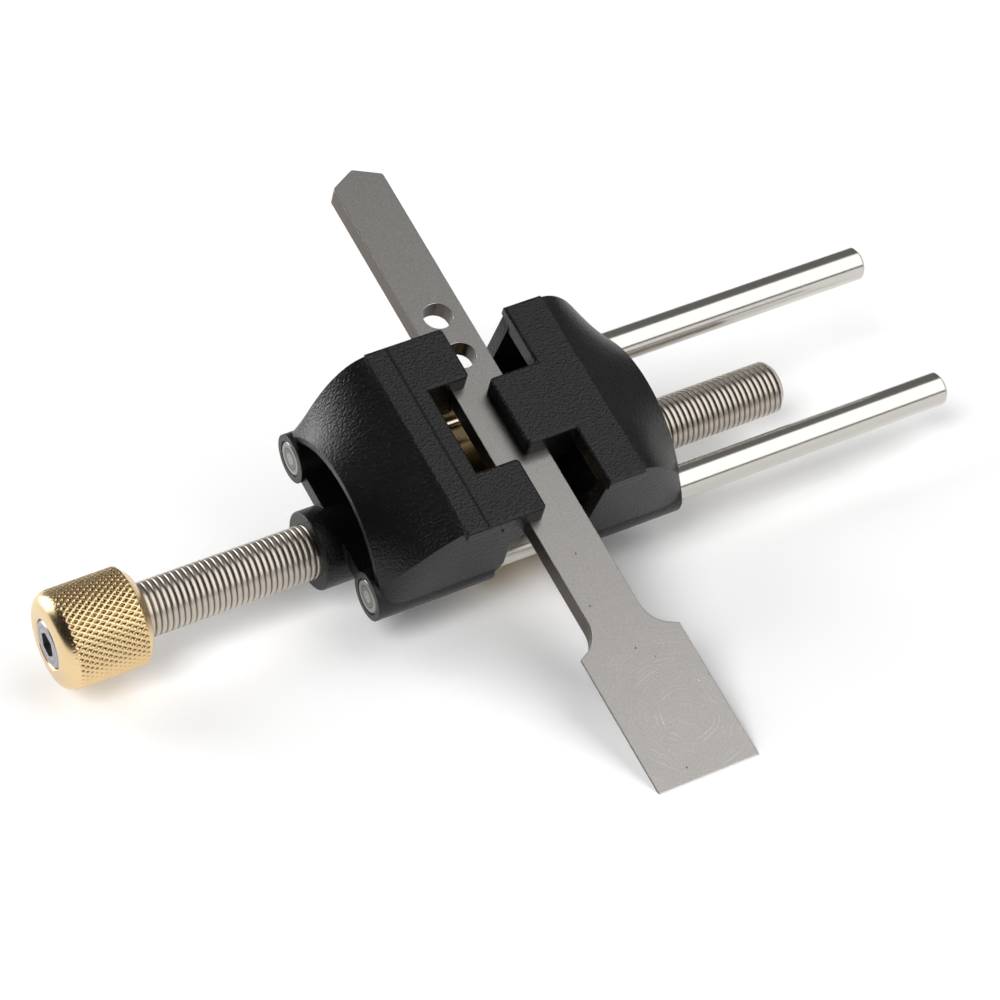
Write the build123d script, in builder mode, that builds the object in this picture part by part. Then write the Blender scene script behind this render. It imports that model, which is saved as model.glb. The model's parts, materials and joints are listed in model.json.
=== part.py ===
from build123d import *
from math import asin, atan2, cos, degrees, hypot, radians, sin, tan
import os

# Side-clamping honing guide for narrow blades, standing in its working pose:
# the roller and the blade's cutting edge touch the ground plane Z = 0.
# The origin is the middle of the bounding box, on the ground plane.
# X runs along the guide rods, with the knob at -X, and Y towards the blade's tail.
# The guide frame used below is turned about X by the honing angle. Its origin is on
# the screw axis, midway between the jaws, and its Z is square to the blade's face.

# Clamp screw: left-hand thread on the knob's side, right-hand thread on the other.
# Both threads are shown at their major diameter.
screw_diameter = 9.525
screw_end_x = 59.0
screw_end_chamfer = 1.0

# Guide rods, pressed into the left jaw and free to slide in the right jaw
rod_diameter = 6.0
rod_head_diameter = 6.4
rod_head_length = 5.0
rod_head_chamfer = 0.3
rod_spacing = 29.0
rod_height = 6.0
rod_end_x = 84.0
rod_end_chamfer = 0.6
rod_bore_clearance = 0.05

# Knob and the socket screw that holds it on the clamp screw
knob_diameter = 17.2
knob_length = 16.0
knob_face_x = -81.0
knob_nose_radius = 2.8
knob_rim_chamfer = 1.5
knob_socket_depth = 6.0
knob_screw_head_diameter = 8.3
knob_screw_head_height = 5.0
knob_screw_head_bevel = 0.25
knob_screw_diameter = 5.0
knob_screw_length = 12.0
hex_socket_width = 4.0
hex_socket_depth = 2.8
fit_clearance = 0.05

# Roller on its bush, held between two thrust washers and two retaining rings
roller_diameter = 24.7
roller_width = 16.0
roller_edge_chamfer = 0.4
bush_wall = 1.5
running_clearance = 0.04
washer_thickness = 0.8
washer_diameter = 15.0
ring_thickness = 0.8
ring_diameter = 13.2
ring_groove_depth = 0.55
ring_mouth_width = 5.6
end_play = 0.1

# Plane blade clamped in the guide, its flat back upwards
blade_thickness = 3.6
blade_shank_width = 9.7
blade_head_width = 18.6
blade_edge_y = -71.4
blade_shoulder_y = -45.0
blade_tail_y = 56.3
blade_tail_point = 2.6
blade_tail_radius = 0.8
blade_shoulder_slope = 27.0
blade_shoulder_flat = 1.8
blade_bevel_angle = 25.0
blade_side_lean = 26.0
blade_side_land = 0.35
blade_hole_diameter = 5.2
blade_hole_ys = (14.8, 23.4)

# Jaw castings, the same on both sides except for their fingers
jaw_top = 24.0
jaw_length = 38.1
plate_thickness = 3.5
lip_thickness = 2.0
end_wall = 2.4
rim_wall = 1.3
top_half_width = 16.8
left_rim_x = 29.5
right_rim_x = 28.3
rim_radius = 18.9
rim_foot_angle = 33.0
left_rod_boss_proud = 0.9
right_rod_boss_proud = -0.4
rod_boss_wall = 1.15
rod_boss_swell = 0.3
rod_boss_inner_x = 8.6
screw_boss_diameter = 14.0
screw_boss_round = 0.4
screw_boss_proud = 3.9
screw_boss_inner_x = 14.5
web_thickness = 3.0
web_inner_x = 10.4
blade_clearance = 0.05
pad_depth = 4.3

# Outer slope of the castings: how late its corners draw in towards the rim, how late
# they drop, and how far the side walls bulge, as a share of the draw
corner_draw_power = 3.0
corner_drop_power = 1.8
side_bulge = 0.12

# Left jaw: two fingers with a window between them
window_x = 10.0
window_width = 17.4
left_finger_reach = 2.2
left_nose_x = 7.2
left_nose_top = 14.6
left_nose_foot = 8.6

# Right jaw: one finger between two slots
slot_x = 9.73
right_finger_width = 14.1
right_finger_reach = 0.6
right_nose_x = 8.3
right_nose_top = 13.5

# Rounds of the castings' top plates, and the line that the die leaves across the left one
edge_round = 0.45
tip_round = 0.8
die_line_x = 13.0
die_line_width = 0.25
die_line_depth = 0.12

# Worked out from the sizes above
blade_top = jaw_top - plate_thickness - blade_clearance
blade_bottom = blade_top - blade_thickness
roller_radius = roller_diameter / 2
screw_radius = screw_diameter / 2
bush_radius = screw_radius + running_clearance + bush_wall
washer_x = roller_width / 2 + end_play
ring_x = washer_x + washer_thickness + end_play
rod_radius = rod_diameter / 2
rod_y = rod_spacing / 2
rod_boss_radius = rod_head_diameter / 2 + rod_boss_wall
wall_y = rod_y + rod_boss_radius - rod_boss_swell
lip_y = jaw_length / 2
rim_xs = {-1: left_rim_x, 1: right_rim_x}
rod_boss_xs = {-1: left_rim_x + left_rod_boss_proud, 1: right_rim_x + right_rod_boss_proud}
rod_head_x = -rod_boss_xs[-1]
pad_x = blade_shank_width / 2 + blade_clearance
pad_bottom = blade_top + blade_clearance - pad_depth
knob_inner_x = knob_face_x + knob_length
screw_start_x = knob_inner_x - knob_socket_depth
screw_seat_x = knob_face_x + knob_screw_head_height

# The honing angle puts the cutting edge as low as the roller
edge_distance = hypot(blade_edge_y, blade_top)
honing_angle = asin(roller_radius / edge_distance) + atan2(blade_top, -blade_edge_y)
front_y = blade_edge_y * cos(honing_angle) - blade_top * sin(honing_angle)
back_y = blade_tail_y * cos(honing_angle) - blade_bottom * sin(honing_angle)
guide = Plane(
    origin=(-(knob_face_x + rod_end_x) / 2, -(front_y + back_y) / 2, roller_radius),
    x_dir=(1, 0, 0),
    z_dir=(0, -sin(honing_angle), cos(honing_angle)),
)


def level(height):
    """Plane parallel to the blade's face, at a height above the screw axis."""
    return guide.offset(height)


def across(x):
    """Plane square to the rods at x. Its own axes are the guide's Y and Z."""
    return Plane(guide.from_local_coords((x, 0, 0)), x_dir=guide.y_dir, z_dir=guide.x_dir)


def along(y):
    """Plane square to the blade's length at y. Its own axes are the guide's X and Z."""
    return Plane(guide.from_local_coords((0, y, 0)), x_dir=guide.x_dir, z_dir=-guide.y_dir)


def between(start, end, share):
    """Value that lies the given share of the way from start to end."""
    return start + (end - start) * share


def turned_ring(outer, inner, start_x, length):
    """Add a tube round the screw axis to the piece under construction."""
    with BuildSketch(across(start_x)) as ring:
        Circle(outer)
        Circle(inner, mode=Mode.SUBTRACT)
    extrude(ring.sketch, amount=length)


def jaw_section(side, share, inset=0.0, floor=rod_height):
    """Sketch one cross-section of the casting's outer half.

    It goes from the square shoulder under the top edge, at share 0, to the
    round arch of the outer rim, at share 1.
    """
    foot_y = rim_radius * cos(radians(rim_foot_angle))
    foot_z = rim_radius * sin(radians(rim_foot_angle))
    crown = between(jaw_top, rim_radius, share) - inset
    corner_y = between(wall_y, foot_y, share**corner_draw_power) - inset
    corner_z = between(jaw_top, foot_z, share**corner_drop_power) - inset * (1 - share)
    wall_bulge = (wall_y - foot_y) * share * side_bulge
    base_y = wall_y - inset
    middle_y = (base_y + corner_y) / 2 + wall_bulge
    middle_z = (floor + corner_z) / 2
    with BuildSketch(across(side * between(top_half_width, rim_xs[side], share))) as section:
        with BuildLine():
            if share == 0:
                Line((corner_y, corner_z), (-corner_y, corner_z))
                Line((-corner_y, corner_z), (-base_y, floor))
                Line((base_y, floor), (corner_y, corner_z))
            else:
                ThreePointArc((corner_y, corner_z), (0, crown), (-corner_y, corner_z))
                ThreePointArc((-corner_y, corner_z), (-middle_y, middle_z), (-base_y, floor))
                ThreePointArc((base_y, floor), (middle_y, middle_z), (corner_y, corner_z))
            Line((-base_y, floor), (base_y, floor))
        make_face()
    return section.sketch


section_shares = (0.0, 0.42, 0.74, 1.0)


def add_casting(side, inner_x):
    """Add the shell that both jaws share, from inner_x out to the arched rim."""
    loft([jaw_section(side, share) for share in section_shares])
    cavity_floor = rod_height - rod_boss_radius
    with BuildSketch(across(side * inner_x)) as block:
        with Locations((0, (rod_height + jaw_top) / 2)):
            Rectangle(2 * wall_y, jaw_top - rod_height)
    extrude(block.sketch, amount=side * (top_half_width - inner_x))
    insets = [between(end_wall, rim_wall, share) for share in section_shares]
    hollow = [
        jaw_section(side, share, inset, cavity_floor)
        for share, inset in zip(section_shares, insets)
    ]
    loft(hollow, mode=Mode.SUBTRACT)
    under_plate = jaw_top - plate_thickness
    with BuildSketch(across(side * inner_x)) as bay:
        with Locations((0, (cavity_floor + under_plate) / 2)):
            Rectangle(2 * (wall_y - end_wall), under_plate - cavity_floor)
    extrude(bay.sketch, amount=side * (top_half_width - inner_x), mode=Mode.SUBTRACT)


def round_plate(casting, side):
    """Round the top plate's edges, except the crease above the outer slope."""

    def on_plate_rim(edge):
        middle = guide.to_local_coords(edge @ 0.5)
        start = guide.to_local_coords(edge @ 0)
        on_top = abs(middle.Z - jaw_top) < 0.01 and abs(start.Z - jaw_top) < 0.01
        return on_top and abs(middle.X - side * top_half_width) > 0.01

    fillet(casting.edges().filter_by(on_plate_rim), edge_round)


def add_bosses(casting, side):
    """Add the rod bosses, the screw boss and the web that ties them together."""
    with BuildSketch(across(side * rod_boss_inner_x)) as rod_bosses:
        with Locations((rod_y, rod_height), (-rod_y, rod_height)):
            Circle(rod_boss_radius)
    extrude(rod_bosses.sketch, amount=side * (rod_boss_xs[side] - rod_boss_inner_x))
    with BuildSketch(across(side * web_inner_x)) as web:
        with Locations((0, rod_height - web_thickness / 2)):
            Rectangle(rod_spacing, web_thickness)
    extrude(web.sketch, amount=side * (rim_xs[side] - web_inner_x))
    with BuildSketch(across(side * screw_boss_inner_x)) as screw_boss:
        Circle(screw_boss_diameter / 2)
    boss_length = rim_xs[side] + screw_boss_proud - screw_boss_inner_x
    extrude(screw_boss.sketch, amount=side * boss_length)
    boss_rims = casting.edges().filter_by(GeomType.CIRCLE).sort_by(Axis.X)
    fillet(boss_rims[0 if side < 0 else -1], screw_boss_round)


def bore_jaw(side, rod_bore_radius):
    """Cut the rod holes and the screw hole through the bosses."""
    bore_end_x = rim_xs[side] + screw_boss_proud
    with BuildSketch(across(0)) as rod_bores:
        with Locations((rod_y, rod_height), (-rod_y, rod_height)):
            Circle(rod_bore_radius)
    extrude(rod_bores.sketch, amount=side * bore_end_x, mode=Mode.SUBTRACT)
    with BuildSketch(across(side * web_inner_x)) as screw_bore:
        Circle(screw_radius + running_clearance)
    extrude(screw_bore.sketch, amount=side * (bore_end_x - web_inner_x), mode=Mode.SUBTRACT)


# Left jaw: the casting on the knob's side, with the two rods pressed into it
with BuildPart() as left_jaw:
    add_casting(-1, window_x)
    with BuildSketch(level(jaw_top)) as left_plate:
        with BuildLine():
            Polyline(
                (-top_half_width, lip_y),
                (-left_finger_reach, lip_y),
                (-left_finger_reach, window_width / 2),
                (-window_x, window_width / 2),
                (-window_x, -window_width / 2),
                (-left_finger_reach, -window_width / 2),
                (-left_finger_reach, -lip_y),
                (-top_half_width, -lip_y),
                close=True,
            )
        make_face()
        fillet(left_plate.vertices().group_by(Axis.X)[-1], tip_round)
    extrude(amount=-lip_thickness)
    with BuildSketch(level(jaw_top - lip_thickness)) as left_fingers:
        for finger_side in (-1, 1):
            finger_y = finger_side * (lip_y + window_width / 2) / 2
            with Locations((-(left_finger_reach + window_x) / 2, finger_y)):
                Rectangle(window_x - left_finger_reach, lip_y - window_width / 2)
        fillet(left_fingers.vertices().group_by(Axis.X)[-1], tip_round)
    extrude(amount=lip_thickness - plate_thickness)
    for wall_side in (-1, 1):
        with BuildSketch(along(wall_side * wall_y)):
            with BuildLine():
                Polyline(
                    (-window_x - end_wall, jaw_top - plate_thickness),
                    (-pad_x, jaw_top - plate_thickness),
                    (-pad_x, pad_bottom),
                    (-left_nose_x, left_nose_top),
                    (-left_nose_x, left_nose_foot),
                    (-rod_boss_inner_x, rod_height),
                    (-window_x - end_wall, rod_height),
                    close=True,
                )
            make_face()
        extrude(amount=wall_side * end_wall)
        with BuildSketch(along(wall_side * wall_y)):
            with Locations((-(pad_x + window_x) / 2, pad_bottom + pad_depth / 2)):
                Rectangle(window_x - pad_x, pad_depth)
        extrude(amount=wall_side * (wall_y - window_width / 2))
    add_bosses(left_jaw, -1)
    bore_jaw(-1, rod_radius)
    with BuildSketch(across(rod_head_x)):
        with Locations((rod_y, rod_height), (-rod_y, rod_height)):
            Circle(rod_head_diameter / 2)
    extrude(amount=rod_head_length, mode=Mode.SUBTRACT)
    round_plate(left_jaw, -1)
    with BuildSketch(level(jaw_top)):
        with Locations((-die_line_x, 0)):
            Rectangle(die_line_width, jaw_length)
    extrude(amount=-die_line_depth, mode=Mode.SUBTRACT)
left_jaw.part.label = "left_jaw"

# Right jaw: the casting that slides on the rods, with one finger
with BuildPart() as right_jaw:
    add_casting(1, slot_x)
    with BuildSketch(level(jaw_top)) as right_plate:
        with BuildLine():
            Polyline(
                (top_half_width, lip_y),
                (slot_x, lip_y),
                (slot_x, right_finger_width / 2),
                (right_finger_reach, right_finger_width / 2),
                (right_finger_reach, -right_finger_width / 2),
                (slot_x, -right_finger_width / 2),
                (slot_x, -lip_y),
                (top_half_width, -lip_y),
                close=True,
            )
        make_face()
        fillet(right_plate.vertices().group_by(Axis.X)[0], tip_round)
    extrude(amount=-lip_thickness)
    with BuildSketch(level(jaw_top - lip_thickness)) as right_finger:
        with Locations(((right_finger_reach + slot_x) / 2, 0)):
            Rectangle(slot_x - right_finger_reach, right_finger_width)
        fillet(right_finger.vertices().group_by(Axis.X)[0], tip_round)
    extrude(amount=lip_thickness - plate_thickness)
    with BuildSketch(along(right_finger_width / 2)):
        with Locations(((pad_x + slot_x) / 2, pad_bottom + pad_depth / 2)):
            Rectangle(slot_x - pad_x, pad_depth)
    extrude(amount=right_finger_width)
    for wall_side in (-1, 1):
        with BuildSketch(along(wall_side * wall_y)):
            with BuildLine():
                Polyline(
                    (slot_x + end_wall, jaw_top - lip_thickness),
                    (slot_x, jaw_top - lip_thickness),
                    (right_nose_x, right_nose_top),
                    (right_nose_x, left_nose_foot),
                    (rod_boss_inner_x, rod_height),
                    (slot_x + end_wall, rod_height),
                    close=True,
                )
            make_face()
        extrude(amount=wall_side * end_wall)
    add_bosses(right_jaw, 1)
    bore_jaw(1, rod_radius + rod_bore_clearance)
    round_plate(right_jaw, 1)
right_jaw.part.label = "right_jaw"

# Guide rods: each has a press-fit head at the left jaw and a chamfered free end
rods = {}
for rod_name, rod_side in (("guide_rod_near", -1), ("guide_rod_far", 1)):
    with BuildPart() as guide_rod:
        with BuildSketch(across(rod_head_x)):
            with Locations((rod_side * rod_y, rod_height)):
                Circle(rod_head_diameter / 2)
        extrude(amount=rod_head_length)
        with BuildSketch(across(rod_head_x)):
            with Locations((rod_side * rod_y, rod_height)):
                Circle(rod_radius)
        extrude(amount=rod_end_x - rod_head_x)
        ends = guide_rod.edges().filter_by(GeomType.CIRCLE).sort_by(Axis.X)
        chamfer(ends[0], rod_head_chamfer)
        chamfer(ends[-1], rod_end_chamfer)
    guide_rod.part.label = rod_name
    rods[rod_name] = guide_rod

# Clamp screw: plain at the major diameter, with the plain journal in the middle
with BuildPart() as clamp_screw:
    with BuildSketch(across(screw_start_x)):
        Circle(screw_radius)
    extrude(amount=screw_end_x - screw_start_x)
    screw_tip = clamp_screw.edges().filter_by(GeomType.CIRCLE).sort_by(Axis.X)[-1]
    chamfer(screw_tip, screw_end_chamfer)
    for ring_side in (-1, 1):
        with BuildSketch(across(ring_side * ring_x)):
            Circle(screw_radius)
            Circle(screw_radius - ring_groove_depth, mode=Mode.SUBTRACT)
        extrude(amount=ring_side * ring_thickness, mode=Mode.SUBTRACT)
    with BuildSketch(across(screw_start_x)):
        Circle(knob_screw_diameter / 2 + fit_clearance)
    extrude(amount=knob_screw_length + screw_seat_x - screw_start_x, mode=Mode.SUBTRACT)
clamp_screw.part.label = "clamp_screw"

# Knob: a turned brass sleeve, counterbored for the socket screw's head
with BuildPart() as clamp_knob:
    with BuildSketch(across(knob_face_x)):
        Circle(knob_diameter / 2)
    extrude(amount=knob_length)
    knob_rims = clamp_knob.edges().filter_by(GeomType.CIRCLE).sort_by(Axis.X)
    fillet(knob_rims[0], knob_nose_radius)
    chamfer(knob_rims[-1], knob_rim_chamfer)
    with BuildSketch(across(knob_face_x)):
        Circle(knob_screw_head_diameter / 2 + fit_clearance)
    extrude(amount=knob_screw_head_height, mode=Mode.SUBTRACT)
    with BuildSketch(across(knob_face_x)):
        Circle(knob_screw_diameter / 2 + fit_clearance)
    extrude(amount=knob_length, mode=Mode.SUBTRACT)
    with BuildSketch(across(knob_inner_x)):
        Circle(screw_radius + fit_clearance)
    extrude(amount=-knob_socket_depth, mode=Mode.SUBTRACT)
clamp_knob.part.label = "clamp_knob"

# Socket screw that clamps the knob to the end of the clamp screw
with BuildPart() as knob_screw:
    with BuildSketch(across(knob_face_x)):
        Circle(knob_screw_head_diameter / 2)
    extrude(amount=knob_screw_head_height)
    head_rim = knob_screw.edges().filter_by(GeomType.CIRCLE).sort_by(Axis.X)[0]
    chamfer(head_rim, knob_screw_head_bevel)
    with BuildSketch(across(screw_seat_x)):
        Circle(knob_screw_diameter / 2)
    extrude(amount=knob_screw_length)
    with BuildSketch(across(knob_face_x)):
        RegularPolygon(hex_socket_width / 2, 6, major_radius=False)
    extrude(amount=hex_socket_depth, mode=Mode.SUBTRACT)
knob_screw.part.label = "knob_screw"

# Roller: a plain brass wheel, wide enough to steady the guide
with BuildPart() as roller:
    turned_ring(roller_radius, bush_radius + running_clearance, -roller_width / 2, roller_width)
    rim_edges = roller.edges().filter_by(GeomType.CIRCLE).sort_by(SortBy.RADIUS)[-2:]
    chamfer(rim_edges, roller_edge_chamfer)
roller.part.label = "roller"

# Bush between the roller and the screw's journal
with BuildPart() as roller_bush:
    turned_ring(bush_radius, screw_radius + running_clearance, -washer_x, 2 * washer_x)
roller_bush.part.label = "roller_bush"

# Thrust washers beside the roller, and the retaining rings in the screw's grooves
washers = {}
retaining_rings = {}
for end_name, end_side in (("left", -1), ("right", 1)):
    with BuildPart() as thrust_washer:
        turned_ring(
            washer_diameter / 2,
            screw_radius + running_clearance,
            end_side * washer_x,
            end_side * washer_thickness,
        )
    thrust_washer.part.label = "thrust_washer_" + end_name
    washers[thrust_washer.part.label] = thrust_washer

    with BuildPart() as retaining_ring:
        with BuildSketch(across(end_side * ring_x)):
            Circle(ring_diameter / 2)
            Circle(screw_radius - ring_groove_depth, mode=Mode.SUBTRACT)
            with Locations((0, -ring_diameter / 2)):
                Rectangle(ring_mouth_width, ring_diameter, mode=Mode.SUBTRACT)
        extrude(amount=end_side * ring_thickness)
    retaining_ring.part.label = "retaining_ring_" + end_name
    retaining_rings[retaining_ring.part.label] = retaining_ring

# Plane blade: a narrow shank with a wide head, its bevel ground on the underside
shank_x = blade_shank_width / 2
head_x = blade_head_width / 2
side_relief = (blade_thickness - blade_side_land) * tan(radians(blade_side_lean))
shoulder_run = (head_x - shank_x) / cos(radians(blade_shoulder_slope))
neck_y = blade_shoulder_y + (head_x - shank_x) * tan(radians(blade_shoulder_slope))
neck_half_turn = radians(90 - blade_shoulder_slope) / 2
with BuildPart() as plane_blade:
    with BuildSketch(level(blade_top)) as blade_outline:
        with BuildLine():
            Polyline(
                (head_x, blade_edge_y),
                (head_x, blade_shoulder_y),
                (shank_x, neck_y),
                (shank_x, blade_tail_y - blade_tail_point),
                (0, blade_tail_y),
                (-shank_x, blade_tail_y - blade_tail_point),
                (-shank_x, neck_y),
                (-head_x, blade_shoulder_y),
                (-head_x, blade_edge_y),
                close=True,
            )
        make_face()
        rows = blade_outline.vertices().group_by(Axis.Y)
        fillet(rows[2], (shoulder_run - blade_shoulder_flat) / tan(neck_half_turn))
        rows = blade_outline.vertices().group_by(Axis.Y)
        fillet(rows[-1] + rows[-2], blade_tail_radius)
        with Locations(*[(0, hole_y) for hole_y in blade_hole_ys]):
            Circle(blade_hole_diameter / 2, mode=Mode.SUBTRACT)
    extrude(amount=-blade_thickness)
    with BuildSketch(along(blade_edge_y)):
        for side in (-1, 1):
            with BuildLine():
                Polyline(
                    (side * head_x, blade_top - blade_side_land),
                    (side * head_x, blade_bottom),
                    (side * (head_x - side_relief), blade_bottom),
                    close=True,
                )
            make_face()
    extrude(amount=blade_edge_y - neck_y, mode=Mode.SUBTRACT)
    bevel_run = blade_thickness / tan(radians(blade_bevel_angle))
    with BuildSketch(across(-head_x)):
        with BuildLine():
            Polyline(
                (blade_edge_y, blade_top),
                (blade_edge_y, blade_bottom),
                (blade_edge_y + bevel_run, blade_bottom),
                close=True,
            )
        make_face()
    extrude(amount=blade_head_width, mode=Mode.SUBTRACT)
plane_blade.part.label = "plane_blade"

os.makedirs("parts", exist_ok=True)
export_step(left_jaw.part, "parts/left_jaw.step")
export_step(right_jaw.part, "parts/right_jaw.step")
export_step(clamp_screw.part, "parts/clamp_screw.step")
export_step(clamp_knob.part, "parts/clamp_knob.step")
export_step(knob_screw.part, "parts/knob_screw.step")
export_step(roller.part, "parts/roller.step")
export_step(roller_bush.part, "parts/roller_bush.step")
export_step(plane_blade.part, "parts/plane_blade.step")
for group in (rods, washers, retaining_rings):
    for piece_name, piece in group.items():
        export_step(piece.part, "parts/" + piece_name + ".step")
print("honing angle", round(degrees(honing_angle), 2))
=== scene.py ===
"""Looks of a side-clamping honing guide that holds a narrow plane blade.

The castings, rods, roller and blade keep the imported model's solids and get finishes.
The clamp screw gets its two opposed threads, the knob gets its diamond knurl, and a
strip of coat almost fills the die's line on the left jaw.
Lengths are in millimetres in the guide's own frame: X runs along the rods away from the
knob, Y towards the blade's tail, Z is square to the blade's face, and the origin is on
the screw axis midway between the jaws.
"""

import json
import logging
import math
from dataclasses import dataclass
from enum import Enum
from typing import Any

import bmesh
import bpy
import numpy as np
from mathutils import Matrix, Vector

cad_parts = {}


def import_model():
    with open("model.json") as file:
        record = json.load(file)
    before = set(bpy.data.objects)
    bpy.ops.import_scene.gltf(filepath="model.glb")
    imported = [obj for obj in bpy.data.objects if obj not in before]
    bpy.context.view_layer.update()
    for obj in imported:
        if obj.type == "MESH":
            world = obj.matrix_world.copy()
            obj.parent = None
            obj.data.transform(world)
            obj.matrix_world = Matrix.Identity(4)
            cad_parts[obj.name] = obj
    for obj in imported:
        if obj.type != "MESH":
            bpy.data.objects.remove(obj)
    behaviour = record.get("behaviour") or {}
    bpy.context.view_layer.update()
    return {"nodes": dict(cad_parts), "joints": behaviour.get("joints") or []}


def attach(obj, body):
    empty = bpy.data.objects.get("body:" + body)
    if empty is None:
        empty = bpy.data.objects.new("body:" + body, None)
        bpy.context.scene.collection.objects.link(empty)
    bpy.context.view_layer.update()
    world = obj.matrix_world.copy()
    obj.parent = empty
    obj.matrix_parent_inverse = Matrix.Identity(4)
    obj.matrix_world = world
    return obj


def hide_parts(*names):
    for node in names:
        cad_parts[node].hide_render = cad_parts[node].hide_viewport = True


log = logging.getLogger("honing_guide")

MM = 0.001
BROAD_EDGE_SAMPLES = 6
SMALL_EDGE_SAMPLES = 4
MERGE_WITHIN = 0.002 * MM
SHORTEST_EDGE = 0.001 * MM

Socket = bpy.types.NodeSocket
Tree = bpy.types.NodeTree


def linear(code: str) -> tuple[float, float, float, float]:
    """Turn an sRGB hex colour into linear light.

    Args:
        code: Colour as "#rrggbb".

    Returns:
        Red, green, blue and an alpha of 1.
    """
    values = [int(code[i : i + 2], 16) / 255 for i in (1, 3, 5)]
    red, green, blue = (
        v / 12.92 if v <= 0.04045 else ((v + 0.055) / 1.055) ** 2.4 for v in values
    )
    return red, green, blue, 1.0


def add(
    tree: Tree, kind: str, inputs: dict[Any, Any] | None = None, **settings: Any
) -> Any:
    """Add one node with its settings, values and links.

    Args:
        tree: Node tree that gets the node.
        kind: Node type, without its ShaderNode prefix.
        inputs: Values or output sockets by input name or number.
        settings: The node's own properties, or stops for a colour ramp.

    Returns:
        The node.
    """
    node = tree.nodes.new("ShaderNode" + kind)
    stops = settings.pop("stops", None)
    for name, value in settings.items():
        setattr(node, name, value)
    if stops:
        ramp = node.color_ramp.elements
        while len(ramp) < len(stops):
            ramp.new(0.5)
        for element, (position, colour) in zip(ramp, stops):
            element.position = position
            element.color = colour
    for name, value in (inputs or {}).items():
        if isinstance(value, Socket):
            tree.links.new(value, node.inputs[name])
        else:
            node.inputs[name].default_value = value
    return node


@dataclass(frozen=True)
class GuideFrame:
    """The guide's own frame, turned about X by the honing angle.

    Attributes:
        angle: Honing angle in radians.
        origin: Its origin in the row frame, in metres.
    """

    angle: float
    origin: tuple[float, float, float]

    @classmethod
    def from_joints(cls, joints: list[dict[str, Any]]) -> "GuideFrame":
        """Read the frame from the screw's axis and the blade's direction of travel.

        Args:
            joints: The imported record's joints.

        Returns:
            The guide's frame.
        """
        named = {joint["name"]: joint for joint in joints}
        _, across, rise = named["blade_slide"]["axis"]
        return cls(math.atan2(rise, across), tuple(named["clamp_screw_turn"]["pos_m"]))

    def axes(self) -> np.ndarray:
        """Give the guide's X, Y and Z as rows, in the row frame."""
        c, s = math.cos(self.angle), math.sin(self.angle)
        return np.array([[1, 0, 0], [0, c, s], [0, -s, c]])

    def to_row(self, points: np.ndarray) -> np.ndarray:
        """Carry points in millimetres to the row frame in metres.

        Args:
            points: Array of points, one in each row.

        Returns:
            The points in the row frame.
        """
        return np.asarray(points) * MM @ self.axes() + np.array(self.origin)

    def place(self, tree: Tree, centre: tuple[float, float, float] = (0, 0, 0)) -> Socket:
        """Give Object coordinates turned into the guide's frame, in millimetres.

        Args:
            tree: Node tree that gets the nodes.
            centre: Point of the guide's frame that becomes zero.

        Returns:
            The coordinates' socket.
        """
        shift = -self.axes() @ np.array(self.origin) / MM - np.array(centre)
        source = add(tree, "TexCoord").outputs["Object"]
        settings = {
            "Vector": source,
            "Location": tuple(shift),
            "Rotation": (-self.angle, 0, 0),
            "Scale": (1 / MM,) * 3,
        }
        return add(tree, "Mapping", settings).outputs["Vector"]


class Relief(Enum):
    """Direction of the fine lines that a tool leaves on a turned piece."""

    ALONG = "lines square to the axis, on the round"
    FACED = "rings about the axis, on the flat ends"


@dataclass(frozen=True)
class Finish:
    """A real material, worked in a real way.

    Attributes:
        guide: Frame that its patterns are laid out in.
        name: The material's name.
        colour: Its base colour as sRGB hex.
        roughness: Microfacet roughness.
        metallic: 1 on bare metal, 0 on paint.
    """

    guide: GuideFrame
    name: str
    colour: str
    roughness: float
    metallic: float = 1.0

    def dress(self, tree: Tree, shader: Any) -> None:
        """Add this finish's own pattern to the shader. A plain finish has none.

        Args:
            tree: The material's node tree.
            shader: Its Principled shader.
        """

    def material(self) -> bpy.types.Material:
        """Build the material.

        Returns:
            The material, ready to assign.
        """
        material = bpy.data.materials.new(self.name)
        material.use_nodes = True
        tree = material.node_tree
        shader = tree.nodes["Principled BSDF"]
        shader.inputs["Base Color"].default_value = linear(self.colour)
        shader.inputs["Roughness"].default_value = self.roughness
        shader.inputs["Metallic"].default_value = self.metallic
        self.dress(tree, shader)
        return material


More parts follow.
